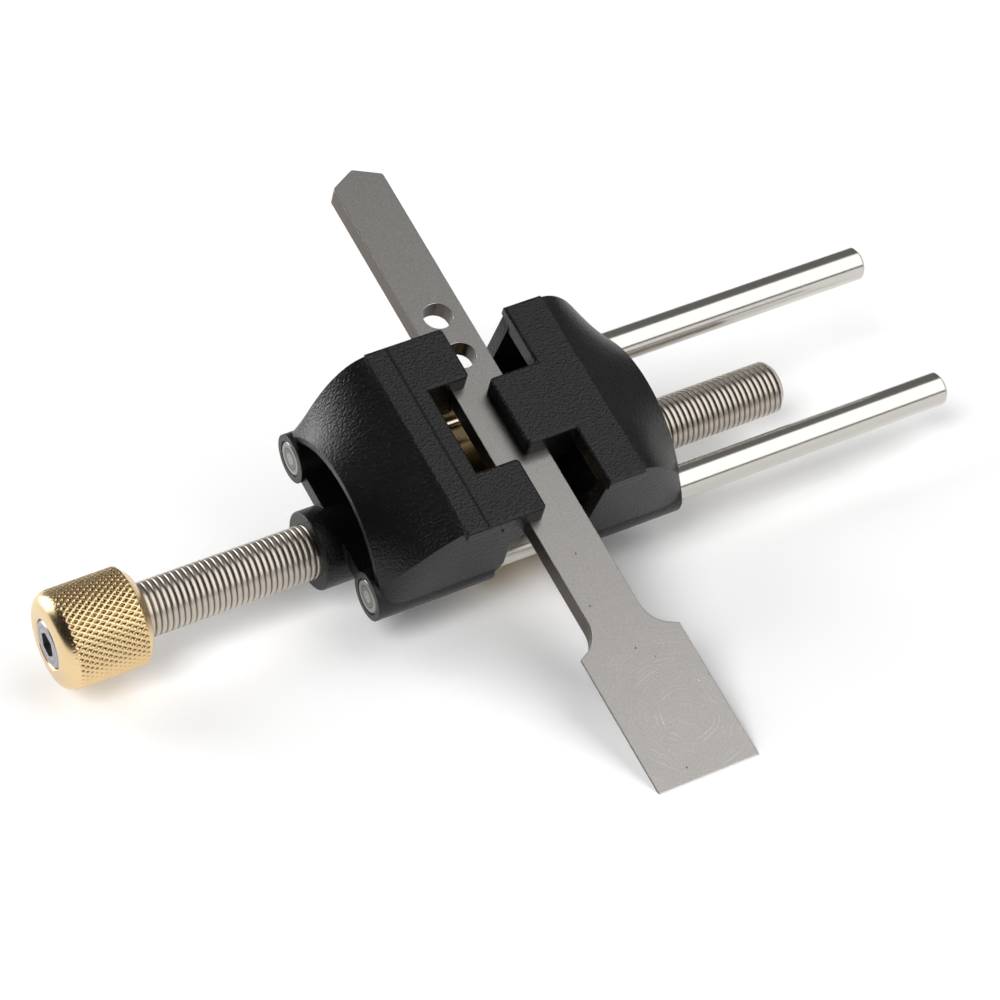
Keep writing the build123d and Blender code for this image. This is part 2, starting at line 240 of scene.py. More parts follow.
@dataclass(frozen=True)
class PowderCoat(Finish):
    """Black powder coat baked on a zinc die casting.

    It flows into soft pebbles just under half a millimetre across and thins at sharp
    edges, so the eye gets a satin black with a fine orange peel and soft arrises.

    Attributes:
        pebble: Size of the pebbles.
        pebble_height: Their height.
        grain: Size of the finer grain on them.
        grain_share: The grain's height as a share of theirs.
        arris: Radius of the rounded edges.
        gloss: The shader's specular level.
        specks: Places where dust may lie, in one millimetre along each axis.
        speck_reach: How far from its place a speck is full and where it ends, as a
            share of the places' spacing.
        dust: Colour of the dust.
    """

    pebble: float = 0.42
    pebble_height: float = 0.11
    grain: float = 0.2
    grain_share: float = 0.25
    arris: float = 0.32
    gloss: float = 0.39
    specks: float = 0.55
    speck_reach: tuple[float, float] = (0.035, 0.055)
    dust: str = "#3c3c3e"

    def dress(self, tree: Tree, shader: Any) -> None:
        """Add the pebbles, the rounded arrises and a few dust specks.

        Args:
            tree: The material's node tree.
            shader: Its Principled shader.
        """
        shader.inputs["Specular IOR Level"].default_value = self.gloss
        place = self.guide.place(tree)
        pebbles = add(
            tree, "TexNoise", {"Vector": place, "Scale": 1 / self.pebble, "Detail": 0.6}
        )
        grain = add(
            tree, "TexNoise", {"Vector": place, "Scale": 1 / self.grain, "Detail": 1.0}
        )
        mixed = add(
            tree,
            "Math",
            {0: grain.outputs["Fac"], 1: self.grain_share, 2: pebbles.outputs["Fac"]},
            operation="MULTIPLY_ADD",
        )
        arris = self.arris * MM
        rounded = add(tree, "Bevel", {"Radius": arris}, samples=BROAD_EDGE_SAMPLES)
        bump = add(
            tree,
            "Bump",
            {
                "Height": mixed.outputs[0],
                "Distance": self.pebble_height * MM,
                "Normal": rounded.outputs["Normal"],
            },
        )
        tree.links.new(bump.outputs["Normal"], shader.inputs["Normal"])
        specks = add(tree, "TexVoronoi", {"Vector": place, "Scale": self.specks})
        dust = add(
            tree,
            "MapRange",
            {
                "Value": specks.outputs["Distance"],
                "From Min": self.speck_reach[0],
                "From Max": self.speck_reach[1],
                "To Min": 1.0,
                "To Max": 0.0,
            },
        )
        coat = add(
            tree,
            "Mix",
            {0: dust.outputs[0], 6: linear(self.colour), 7: linear(self.dust)},
            data_type="RGBA",
        )
        tree.links.new(coat.outputs[2], shader.inputs["Base Color"])


@dataclass(frozen=True)
class TurnedMetal(Finish):
    """Metal turned or ground about an axis along X.

    The tool leaves fine lines round the barrel and rings on the flat ends, which draw
    the reflections out a little without hiding them. They are drawn coarser than real
    ones, to show. On the flat ends the rings' colour swings between a dark tone, partly
    painted shade, and a painted highlight.

    Attributes:
        centre: A point on the axis.
        line: Spacing of the lines.
        ring_line: Spacing of the rings on the flat ends.
        depth: Depth of the lines.
        ring_depth: How many times deeper the rings on the flat ends are.
        edge: Radius of the broken edges.
        face_colour: Colour of the flat ends, which are sawn and faced, darkened partly as
            painted shade.
        face_painted_highlight: Colour of the brighter rings on them, a painted highlight.
        face_levels: Height of the rings at which each of the two colours is full.
        face_roughness: Their roughness.
    """

    centre: tuple[float, float, float] = (0, 0, 0)
    line: float = 0.22
    ring_line: float = 0.55
    depth: float = 0.0006
    ring_depth: float = 5.0
    edge: float = 0.15
    face_colour: str = "#4a4846"
    face_painted_highlight: str = "#a8a6a2"
    face_levels: tuple[float, float] = (0.4, 0.62)
    face_roughness: float = 0.32

    def flatness(self, tree: Tree) -> Socket:
        """Give 1 on the flat ends and 0 on the round, from the normal's x.

        Args:
            tree: The material's node tree.

        Returns:
            Socket of the measure.
        """
        normal = add(tree, "NewGeometry").outputs["True Normal"]
        facing = add(tree, "SeparateXYZ", {0: normal})
        return add(tree, "Math", {0: facing.outputs["X"]}, operation="ABSOLUTE").outputs[0]

    def tool_lines(self, tree: Tree, relief: Relief) -> Socket:
        """Draw the lines as noise of one coordinate.

        The height is noise of x on the round, and of the distance from the axis on the
        flat ends.

        Args:
            tree: The material's node tree.
            relief: Which of the two sets.

        Returns:
            Socket of the height, from 0 to 1.
        """
        place = self.guide.place(tree, self.centre)
        split = add(tree, "SeparateXYZ", {0: place})
        across, line = split.outputs["X"], self.line
        if relief is Relief.FACED:
            line = self.ring_line
            flat = add(tree, "CombineXYZ", {1: split.outputs["Y"], 2: split.outputs["Z"]})
            across = add(
                tree, "VectorMath", {0: flat.outputs[0]}, operation="LENGTH"
            ).outputs["Value"]
        noise = add(
            tree,
            "TexNoise",
            {"W": across, "Scale": 1 / line, "Detail": 2.0},
            noise_dimensions="1D",
        )
        return noise.outputs["Fac"]

    def lined_normal(self, tree: Tree) -> Socket:
        """Give the normal with the tool's lines on barrel and ends.

        Args:
            tree: The material's node tree.

        Returns:
            The normal's socket.
        """
        faced = self.tool_lines(tree, Relief.FACED)
        rings = add(tree, "Math", {0: faced, 1: self.ring_depth}, operation="MULTIPLY")
        height = add(
            tree,
            "Mix",
            {
                0: self.flatness(tree),
                2: self.tool_lines(tree, Relief.ALONG),
                3: rings.outputs[0],
            },
        )
        edge = self.edge * MM
        broken = add(tree, "Bevel", {"Radius": edge}, samples=SMALL_EDGE_SAMPLES)
        bump = add(
            tree,
            "Bump",
            {
                "Height": height.outputs[0],
                "Distance": self.depth * MM,
                "Normal": broken.outputs["Normal"],
            },
        )
        return bump.outputs["Normal"]

    def dress(self, tree: Tree, shader: Any) -> None:
        """Add the tool's lines, and the duller flat ends, whose rings swing between a dark
        tone, partly painted shade, and a painted highlight.

        Args:
            tree: The material's node tree.
            shader: Its Principled shader.
        """
        tree.links.new(self.lined_normal(tree), shader.inputs["Normal"])
        flatness = self.flatness(tree)
        rough = add(tree, "Mix", {0: flatness, 2: self.roughness, 3: self.face_roughness})
        tree.links.new(rough.outputs[0], shader.inputs["Roughness"])
        # The flat ends' rings swing between a dark tone, partly painted shade, and a
        # painted highlight
        colours = linear(self.face_colour), linear(self.face_painted_highlight)
        stops = list(zip(self.face_levels, colours))
        faced = {0: self.tool_lines(tree, Relief.FACED)}
        rings = add(tree, "ValToRGB", faced, stops=stops)
        ends = {0: flatness, 6: linear(self.colour), 7: rings.outputs["Color"]}
        tint = add(tree, "Mix", ends, data_type="RGBA")
        tree.links.new(tint.outputs[2], shader.inputs["Base Color"])


@dataclass(frozen=True)
class GroovedMetal(TurnedMetal):
    """Turned metal with a painted highlight on its crests and painted shade in its
    grooves.

    The mesh's own groove attribute is 0 on the crests and 1 in the roots.

    Attributes:
        crest: Colour on a crest, paler as a painted highlight.
        root: Colour in the deepest part of a groove, darker as painted shade.
        onset: Share of the depth at which the darkening starts.
    """

    crest: str = "#ffffff"
    root: str = "#000000"
    onset: float = 0.35

    def dress(self, tree: Tree, shader: Any) -> None:
        """Add the tool's lines, the painted highlight on the crests and the painted shade
        in the roots.

        Args:
            tree: The material's node tree.
            shader: Its Principled shader.
        """
        tree.links.new(self.lined_normal(tree), shader.inputs["Normal"])
        groove = add(tree, "Attribute", attribute_name="groove").outputs["Fac"]
        # Painted highlight on the crests, and painted shade that deepens into the roots
        stops = [
            (0.0, linear(self.crest)),
            (self.onset, linear(self.colour)),
            (1.0, linear(self.root)),
        ]
        tint = add(tree, "ValToRGB", {0: groove}, stops=stops)
        tree.links.new(tint.outputs["Color"], shader.inputs["Base Color"])


@dataclass(frozen=True)
class LappedSteel(Finish):
    """Tool steel, surface ground all over and lapped by hand near its edge.

    Grinding gives the eye an even grey with a fine grain. Lapping leaves faint arcs on
    the head, and use leaves a few bright nicks and dark pits. The narrow sides keep the
    browner grey of the rolled bar. The grain is drawn coarser than it is, to show. The
    face's colour darkens towards the tail as painted shade, and the edges are brightened
    partly for wear and partly as a painted highlight.

    Attributes:
        tail_painted_shade: Colour at the tail, darker as painted shade.
        side_colour: Colour of the narrow sides.
        scratch_colour: Colour of a fresh scratch.
        pit_colour: Colour of a rusted pit.
        edge: Radius of the bright edges, partly wear and partly a painted highlight.
        grain: Size of the grain.
        arc_reach: Spacing of the arcs' centres.
        arc_line: Spacing of the arcs.
        arc_bend: How far the patches bend them, as a share of arc_reach.
        arc_levels: Height of their noise where an arc starts and where it is full.
        patch_levels: The same for the patches that they show in.
        patch_scale: Scale of the patches' noise, per millimetre.
        head: Where the lapping starts and where it is full, along Y.
        worn: The same for the nicks and pits.
        length: Where the head's colour ends and where the tail's painted shade is full,
            along Y.
        nick_cell: Width and length of the cells that the nicks are drawn in.
        nick_turn: Angle of those cells, in degrees.
        pit_cell: Width and length of the pits' cells.
        pit_turn: Their angle.
        marked: Share of the cells that hold a mark.
        mark_reach: How far from a cell's middle a mark ends and where it is full.
        ragged: How far noise moves a mark's outline, in the same measure.
        ragged_scale: Scale of that noise, per millimetre.
        grain_levels: Height of the grain where it starts and stops to brighten.
        grain_shine: How far the grain goes to the colour of a fresh scratch.
        arc_shine: The same for the arcs.
        edge_wear_and_highlight: The same for the edges, partly wear and partly a painted
            highlight.
        edge_levels: Cosine of the rounded normal's turn where an edge starts to be
            bright and where it is brightest.
        relief: Height of the grain's relief.
        burr: Height of a nick's burr, as a multiple of that.
    """

    tail_painted_shade: str = "#757370"
    side_colour: str = "#5a524b"
    scratch_colour: str = "#f2f0ec"
    pit_colour: str = "#2f2d2b"
    edge: float = 0.22
    grain: float = 0.24
    arc_reach: float = 24.0
    arc_line: float = 0.42
    arc_bend: float = 0.08
    arc_levels: tuple[float, float] = (0.5, 0.75)
    patch_levels: tuple[float, float] = (0.46, 0.62)
    patch_scale: float = 0.3
    head: tuple[float, float] = (-38.0, -52.0)
    worn: tuple[float, float] = (-8.0, -16.0)
    length: tuple[float, float] = (-62.0, 25.0)
    nick_cell: tuple[float, float] = (1.15, 5.0)
    nick_turn: float = 24.0
    pit_cell: tuple[float, float] = (1.9, 2.6)
    pit_turn: float = -10.0
    marked: float = 0.05
    mark_reach: tuple[float, float] = (0.18, 0.13)
    ragged: float = 0.22
    ragged_scale: float = 2.6
    grain_levels: tuple[float, float] = (0.35, 0.8)
    grain_shine: float = 0.12
    arc_shine: float = 0.1
    edge_wear_and_highlight: float = 0.9
    edge_levels: tuple[float, float] = (0.99, 0.9)
    relief: float = 0.004
    burr: float = 6.0

    def beyond(
        self, tree: Tree, place: Socket, ends: tuple[float, float], value: Socket
    ) -> Socket:
        """Keep a value only on the part of the blade past a place along Y.

        Args:
            tree: The material's node tree.
            place: Coordinates in the guide's frame.
            ends: Where the value starts and where it is full.
            value: The value.

        Returns:
            Socket of the value there.
        """
        split = add(tree, "SeparateXYZ", {0: place})
        share = add(
            tree,
            "MapRange",
            {"Value": split.outputs["Y"], "From Min": ends[0], "From Max": ends[1]},
        )
        return add(
            tree, "Math", {0: share.outputs[0], 1: value}, operation="MULTIPLY"
        ).outputs[0]

    def arcs(self, tree: Tree, place: Socket) -> Socket:
        """Draw the lapping arcs.

        They are noise of the distance from the nearest of some scattered centres, bent a
        little and shown in patches, only on the head.

        Args:
            tree: The material's node tree.
            place: Coordinates in the guide's frame.

        Returns:
            Socket of their strength.
        """
        cells = add(tree, "TexVoronoi", {"Vector": place, "Scale": 1 / self.arc_reach})
        wide = {"Vector": place, "Scale": self.patch_scale, "Detail": 2.0}
        patches = add(tree, "TexNoise", wide)
        swept = add(
            tree,
            "Math",
            {
                0: patches.outputs["Fac"],
                1: self.arc_bend,
                2: cells.outputs["Distance"],
            },
            operation="MULTIPLY_ADD",
        )
        rings = add(
            tree,
            "TexNoise",
            {
                "W": swept.outputs[0],
                "Scale": self.arc_reach / self.arc_line,
                "Detail": 2.0,
            },
            noise_dimensions="1D",
        )
        line = add(
            tree,
            "MapRange",
            {
                "Value": rings.outputs["Fac"],
                "From Min": self.arc_levels[0],
                "From Max": self.arc_levels[1],
            },
        )
        shown = add(
            tree,
            "MapRange",
            {
                "Value": patches.outputs["Fac"],
                "From Min": self.patch_levels[0],
                "From Max": self.patch_levels[1],
            },
        )
        part = add(
            tree, "Math", {0: line.outputs[0], 1: shown.outputs[0]}, operation="MULTIPLY"
        )
        return self.beyond(tree, place, self.head, part.outputs[0])

    def marks(
        self, tree: Tree, place: Socket, cell: tuple[float, float], turn: float
    ) -> Socket:
        """Scatter small ragged marks in a few cells of a Voronoi pattern.

        Args:
            tree: The material's node tree.
            place: Coordinates in the guide's frame.
            cell: Width and length of a cell. The marks have the same proportions.
            turn: Angle of the cells, in degrees.

        Returns:
            Socket that is 1 in a mark.
        """
        laid = add(
            tree,
            "Mapping",
            {
                "Vector": place,
                "Rotation": (0, 0, math.radians(turn)),
                "Scale": (1 / cell[0], 1 / cell[1], 1.0),
            },
        )
        cells = add(
            tree,
            "TexVoronoi",
            {"Vector": laid.outputs[0], "Scale": 1.0},
            voronoi_dimensions="2D",
        )
        outline = {"Vector": place, "Scale": self.ragged_scale, "Detail": 2.0}
        ragged = add(tree, "TexNoise", outline)
        away = add(
            tree,
            "Math",
            {0: ragged.outputs["Fac"], 1: self.ragged, 2: cells.outputs["Distance"]},
            operation="MULTIPLY_ADD",
        )
        near = add(
            tree,
            "MapRange",
            {
                "Value": away.outputs[0],
                "From Min": self.mark_reach[0],
                "From Max": self.mark_reach[1],
            },
        )
        pick = add(tree, "SeparateColor", {0: cells.outputs["Color"]})
        limit = {0: pick.outputs[0], 1: 1 - self.marked}
        chosen = add(tree, "Math", limit, operation="GREATER_THAN")
        mark = add(
            tree, "Math", {0: near.outputs[0], 1: chosen.outputs[0]}, operation="MULTIPLY"
        )
        return self.beyond(tree, place, self.worn, mark.outputs[0])

    def dress(self, tree: Tree, shader: Any) -> None:
        """Add the painted shade towards the tail, the darker sides, the grain, the arcs,
        the nicks, the pits and the bright edges, partly a painted highlight.

        Args:
            tree: The material's node tree.
            shader: Its Principled shader.
        """
        place = self.guide.place(tree)
        split = add(tree, "SeparateXYZ", {0: place})
        # Painted shade: the face's colour goes darker towards the tail
        length = add(
            tree,
            "MapRange",
            {
                "Value": split.outputs["Y"],
                "From Min": self.length[0],
                "From Max": self.length[1],
            },
        )
        normal = add(tree, "NewGeometry").outputs["True Normal"]
        facing = add(tree, "SeparateXYZ", {0: normal})
        side = add(tree, "Math", {0: facing.outputs["X"]}, operation="ABSOLUTE")
        edge = self.edge * MM
        rounded = add(tree, "Bevel", {"Radius": edge}, samples=BROAD_EDGE_SAMPLES)
        both = {0: rounded.outputs["Normal"], 1: normal}
        turned = add(tree, "VectorMath", both, operation="DOT_PRODUCT")
        # Partly wear and partly a painted highlight: the colour brightens where the
        # rounded normal turns at an edge
        worn = add(
            tree,
            "MapRange",
            {
                "Value": turned.outputs["Value"],
                "From Min": self.edge_levels[0],
                "From Max": self.edge_levels[1],
                "To Max": self.edge_wear_and_highlight,
            },
        )
        grain = add(
            tree, "TexNoise", {"Vector": place, "Scale": 1 / self.grain, "Detail": 2.0}
        )
        fine = add(
            tree,
            "MapRange",
            {
                "Value": grain.outputs["Fac"],
                "From Min": self.grain_levels[0],
                "From Max": self.grain_levels[1],
                "To Max": self.grain_shine,
            },
        )
        shine = {0: self.arcs(tree, place), 1: self.arc_shine}
        arcs = add(tree, "Math", shine, operation="MULTIPLY")
        nicks = self.marks(tree, place, self.nick_cell, self.nick_turn)
        pits = self.marks(tree, place, self.pit_cell, self.pit_turn)
        layers = [
            # Painted shade towards the tail
            (length.outputs[0], self.tail_painted_shade),
            (fine.outputs[0], self.scratch_colour),
            (arcs.outputs[0], self.scratch_colour),
            (pits, self.pit_colour),
            (nicks, self.scratch_colour),
            (side.outputs[0], self.side_colour),
            # Bright edges, partly wear and partly a painted highlight
            (worn.outputs[0], self.scratch_colour),
        ]
        colour: Any = linear(self.colour)
        for share, over in layers:
            inputs = {0: share, 6: colour, 7: linear(over)}
            colour = add(tree, "Mix", inputs, data_type="RGBA").outputs[2]
        tree.links.new(colour, shader.inputs["Base Color"])
        raised = {0: nicks, 1: self.burr, 2: grain.outputs["Fac"]}
        relief = add(tree, "Math", raised, operation="MULTIPLY_ADD")
        bump = add(
            tree,
            "Bump",
            {
                "Height": relief.outputs[0],
                "Distance": self.relief * MM,
                "Normal": rounded.outputs["Normal"],
            },
        )
        tree.links.new(bump.outputs["Normal"], shader.inputs["Normal"])


@dataclass(frozen=True)
class RevolvedGrid:
    """A surface of revolution about X whose radius may change round it.

    Attributes:
        x: Place along the axis, one row for each ring and one column for each angle.
        radius: Radius at the same points.
        groove: 0 on a crest to 1 in a root, at the same points.
    """

    x: np.ndarray
    radius: np.ndarray
    groove: np.ndarray

    def then(self, other: "RevolvedGrid") -> "RevolvedGrid":
        """Join another grid after this one's last ring.

        Args:
            other: The grid that follows, with as many columns.

        Returns:
            Both as one grid.
        """
        return RevolvedGrid(
            np.vstack([self.x, other.x]),
            np.vstack([self.radius, other.radius]),
            np.vstack([self.groove, other.groove]),
        )

    @classmethod
    def plain(cls, profile: list[tuple[float, float]], columns: int) -> "RevolvedGrid":
        """Revolve a profile of (x, radius) points.

        Args:
            profile: The points, in order.
            columns: Number of points round a ring.

        Returns:
            The grid, with no grooves.
        """
        points = np.array(profile, float)
        ones = np.ones((1, columns))
        x, radius = points[:, :1] * ones, points[:, 1:] * ones
        return cls(x, radius, np.zeros_like(x))

    def piece(self, name: str, guide: GuideFrame, sharp: float) -> bpy.types.Object:
        """Make the mesh object in the row frame.

        A point at angle t lies at (x, r cos t, r sin t). The first and last columns
        meet, and rings of no radius become poles, when the doubles are merged.

        Args:
            name: The object's name.
            guide: Frame that the grid is in.
            sharp: Angle in degrees above which an edge stays sharp.

        Returns:
            The object, at the origin.
        """
        rows, columns = self.x.shape
        turn = np.linspace(0, 2 * np.pi, columns)
        points = np.stack(
            [self.x, self.radius * np.cos(turn), self.radius * np.sin(turn)], axis=-1
        )
        corner = (np.arange(rows - 1)[:, None] * columns + np.arange(columns - 1)).ravel()
        quads = np.stack(
            [corner, corner + columns, corner + columns + 1, corner + 1], axis=1
        )
        mesh = bpy.data.meshes.new(name)
        mesh.vertices.add(rows * columns)
        mesh.vertices.foreach_set("co", guide.to_row(points.reshape(-1, 3)).ravel())
        mesh.loops.add(quads.size)
        mesh.loops.foreach_set("vertex_index", quads.ravel())
        mesh.polygons.add(len(quads))
        mesh.polygons.foreach_set("loop_start", np.arange(0, quads.size, 4))
        mesh.update(calc_edges=True)
        depth = mesh.attributes.new("groove", "FLOAT", "POINT")
        depth.data.foreach_set("value", self.groove.ravel().astype(np.float32))
        merged = bmesh.new()
        merged.from_mesh(mesh)
        bmesh.ops.remove_doubles(merged, verts=merged.verts, dist=MERGE_WITHIN)
        bmesh.ops.dissolve_degenerate(merged, edges=merged.edges, dist=SHORTEST_EDGE)
        bmesh.ops.recalc_face_normals(merged, faces=merged.faces)
        merged.to_mesh(mesh)
        merged.free()
        mesh.shade_smooth()
        mesh.set_sharp_from_angle(angle=math.radians(sharp))
        piece = bpy.data.objects.new(name, mesh)
        bpy.context.scene.collection.objects.link(piece)
        return piece


def smooth(share: np.ndarray) -> np.ndarray:
    """Ease from 0 to 1: 3 t squared less 2 t cubed, with t held between 0 and 1.

    Args:
        share: The t of each point.

    Returns:
        The eased values.
    """
    held = np.clip(share, 0, 1)
    return held * held * (3 - 2 * held)


@dataclass
class ClampScrew:
    """Stainless clamp screw with a left-hand and a right-hand thread.

    It is a 3/8 inch screw of 24 threads to the inch, cut away from the plain journal
    that carries the roller. Its knob end is tapped for the socket screw. The thread is
    drawn with a wider crest and a shallower root than a real one has, to read as it
    does in the photograph.

    Attributes:
        guide: Frame that it is built in.
        finish: What it is made of.
        pitch: Distance from one turn of the thread to the next.
        radius: Radius over the thread, and of the journal.
        start: Its end at the knob.
        end: Its free end.
        end_chamfer: Width of the chamfer there.
        thread_start: Where the thread at the knob starts.
        journal_half: Half the length between the two threads.
        ring_inner: Where a ring's groove starts, from the middle.
        ring_outer: Where it ends.
        ring_depth: Its depth.
        tapped_radius: Radius of the tapped hole.
        tapped_bottom: Where that hole ends.
        run_out: Length over which a thread fades.
        columns: Points round a ring of the grid.
        sharp: Angle in degrees above which an edge stays sharp.
    """

    guide: GuideFrame
    finish: Finish
    pitch: float = 25.4 / 24
    radius: float = 4.7625
    start: float = -71.0
    end: float = 59.0
    end_chamfer: float = 1.0
    thread_start: float = -66.0
    journal_half: float = 11.0
    ring_inner: float = 9.0
    ring_outer: float = 9.8
    ring_depth: float = 0.55
    tapped_radius: float = 2.55
    tapped_bottom: float = -59.0
    run_out: float = 1.3
    columns: int = 97
    sharp: float = 24.0

    # Share of a pitch and depth in mm at the corners of one thread: a flat crest up to
    # the middle, a flank, a shallow rounded root and a flank back
    corners = np.array(
        [
            [0.0, 0.01],
            [0.05, 0.0],
            [0.5, 0.0],
            [0.56, 0.02],
            [0.7, 0.16],
            [0.76, 0.18],
            [0.82, 0.16],
            [0.95, 0.03],
        ]
    )

    def thread(
        self, start: float, end: float, hand: int, fades: tuple[bool, bool]
    ) -> RevolvedGrid:
        """Cut one thread.

        A ring of the grid follows one corner of the thread: at angle t it lies at
        x = s + hand * pitch * t / 2 pi, held between start and end. The depth comes from
        how far x is into its own turn, and eases out at an end that fades.

        Args:
            start: Where the thread begins.
            end: Where it ends.
            hand: 1 for a right-hand thread, -1 for a left-hand one.
            fades: Whether the thread runs out at its start and at its end.

        Returns:
            The thread's grid.
        """
        turns = math.ceil((end - start) / self.pitch) + 2
        offset = start - self.pitch
        shares, depths = self.corners.T
        along = (np.arange(turns)[:, None] + shares).ravel() * self.pitch + offset
        lead = hand * self.pitch * np.linspace(0, 1, self.columns)
        x = np.clip(along[:, None] + lead, start, end)
        share = ((x - lead - offset) / self.pitch) % 1
        depth = np.interp(share, np.append(shares, 1), np.append(depths, depths[0]))
        if fades[0]:
            depth *= smooth((x - start) / self.run_out)
        if fades[1]:
            depth *= smooth((end - x) / self.run_out)
        return RevolvedGrid(x, self.radius - depth, depth / depths.max())

    def build(self) -> bpy.types.Object:
        """Build the screw as one closed surface.

        Returns:
            The finished piece.
        """
        neck = self.radius - self.ring_depth
        bore = RevolvedGrid.plain(
            [
                (self.tapped_bottom, 0),
                (self.tapped_bottom, self.tapped_radius),
                (self.start, self.tapped_radius),
                (self.start, self.radius),
            ],
            self.columns,
        )
        journal = RevolvedGrid.plain(
            [
                (-self.ring_outer, self.radius),
                (-self.ring_outer, neck),
                (-self.ring_inner, neck),
                (-self.ring_inner, self.radius),
                (self.ring_inner, self.radius),
                (self.ring_inner, neck),
                (self.ring_outer, neck),
                (self.ring_outer, self.radius),
            ],
            self.columns,
        )
        left = self.thread(self.thread_start, -self.journal_half, -1, (True, True))
        right = self.thread(self.journal_half, self.end, 1, (True, False))
        limit = self.radius - np.maximum(0, right.x - self.end + self.end_chamfer)
        right = RevolvedGrid(right.x, np.minimum(right.radius, limit), right.groove)
        face = RevolvedGrid.plain([(self.end, 0)], self.columns)
        grid = bore.then(left).then(journal).then(right).then(face)
        piece = grid.piece("clamp_screw_threaded", self.guide, self.sharp)
        piece.data.materials.append(self.finish.material())
        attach(piece, "clamp_screw")
        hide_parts("clamp_screw")
        return piece


@dataclass
class ClampKnob:
    """Brass knob with a diamond knurl between a round nose and a bevelled rim.

    Two sets of helical ridges cross on the barrel, with a diamond pit between them. All
    pits go down to one radius, so they run out on the nose and on the bevel.

    Attributes:
        guide: Frame that it is built in.
        finish: What it is made of.
        radius: Radius over the knurl.
        face: Its outer face.
        inner: Its face towards the jaw.
        nose: Radius of the round nose.
        rim: Width of the bevel at the inner face.
        rim_break: How far before that face the bevel's edge is broken.
        rim_drop: How far the broken edge comes in below the bevel there.
        socket_radius: Radius of the bore that takes the clamp screw.
        socket_bottom: Where that bore ends.
        hole_radius: Radius of the hole for the socket screw.
        head_seat: Where the socket screw's head sits.
        head_radius: Radius of the counterbore round the head.
        head_round: Width of the bevel at the counterbore's mouth.
        knurl_depth: Depth of the pits.
        cropped: Share of the full height at which the ridges are cropped flat.
        around: Ridges of each set round the barrel.
        pitch: Their spacing along it.
        samples: Points of the grid from one ridge to the next.
        rows: Rings of the grid along the knurl.
        nose_rings: Rings on the nose, with the knurl's first one.
        sharp: Angle in degrees above which an edge stays sharp.
    """

    guide: GuideFrame
    finish: Finish
    radius: float = 8.6
    face: float = -81.0
    inner: float = -65.0
    nose: float = 2.8
    rim: float = 1.5
    rim_break: float = 0.15
    rim_drop: float = 0.1
    socket_radius: float = 4.8125
    socket_bottom: float = -71.0
    hole_radius: float = 2.55
    head_seat: float = -76.0
    head_radius: float = 4.32
    head_round: float = 0.25
    knurl_depth: float = 0.3
    cropped: float = 0.78
    around: int = 47
    pitch: float = 1.67
    samples: int = 10
    rows: int = 116
    nose_rings: int = 14
    sharp: float = 40.0

    def outline(self, x: np.ndarray) -> np.ndarray:
        """Give the smooth barrel's radius.

        It is a quarter circle on the nose, then level, then less by one for each unit
        of x on the bevelled rim.

        Args:
            x: Places along the axis.

        Returns:
            The radius at each.
        """
        short = np.clip(self.face + self.nose - x, 0, self.nose)
        nose = self.nose - np.sqrt(self.nose**2 - short**2)
        return self.radius - nose - np.clip(x - self.inner + self.rim, 0, None)

    def knurl(self) -> RevolvedGrid:
        """Press the diamond knurl.

        With n ridges of each set round the barrel and a their spacing along it, the
        height at angle t and place x is the greater of two triangle waves, of
        n t / 2 pi + x / a and of n t / 2 pi - x / a, cropped flat near the top. The pits
        go down to one radius, and the surface is whichever is lower, the knurl or the
        smooth barrel.

        Returns:
            The knurled barrel.
        """
        columns = self.around * self.samples + 1
        turns = np.linspace(0, self.around, columns)[None, :]
        start = self.face + self.nose - math.sqrt(
            self.nose**2 - (self.nose - self.knurl_depth) ** 2
        )
        end = self.inner - self.rim + self.knurl_depth
        x = np.linspace(start, end, self.rows)[:, None] + 0 * turns

        def wave(value: np.ndarray) -> np.ndarray:
            """Triangle wave from 0 to 1 and back over each unit."""
            return 1 - np.abs(2 * (value % 1) - 1)

        ridges = np.maximum(wave(turns + x / self.pitch), wave(turns - x / self.pitch))
        height = np.minimum(ridges / self.cropped, 1)
        barrel = self.outline(x)
        radius = np.minimum(barrel, self.radius - self.knurl_depth * (1 - height))
        return RevolvedGrid(x, radius, (barrel - radius) / self.knurl_depth)

    def build(self) -> bpy.types.Object:
        """Build the knob as one closed surface.

        Returns:
            The finished piece.
        """
        knurl = self.knurl()
        columns = knurl.x.shape[1]
        reach = (knurl.x[0, 0] - self.face) / self.nose
        sweep = np.linspace(0, math.acos(1 - reach), self.nose_rings)[:-1]
        nose_x = self.face + self.nose * (1 - np.cos(sweep))
        rim_radius = self.radius - self.rim
        outside = [
            (self.inner, self.socket_radius),
            (self.socket_bottom, self.socket_radius),
            (self.socket_bottom, self.hole_radius),
            (self.head_seat, self.hole_radius),
            (self.head_seat, self.head_radius),
            (self.face + self.head_round, self.head_radius),
            (self.face, self.head_radius + self.head_round),
            *zip(nose_x, self.outline(nose_x)),
        ]
        rim = [
            (self.inner - self.rim_break, rim_radius + self.rim_break),
            (self.inner, rim_radius - self.rim_drop),
            (self.inner, self.socket_radius),
        ]
        grid = RevolvedGrid.plain(outside, columns).then(knurl)
        grid = grid.then(RevolvedGrid.plain(rim, columns))
        piece = grid.piece("clamp_knob_knurled", self.guide, self.sharp)
        piece.data.materials.append(self.finish.material())
        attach(piece, "clamp_screw")
        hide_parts("clamp_knob")
        return piece


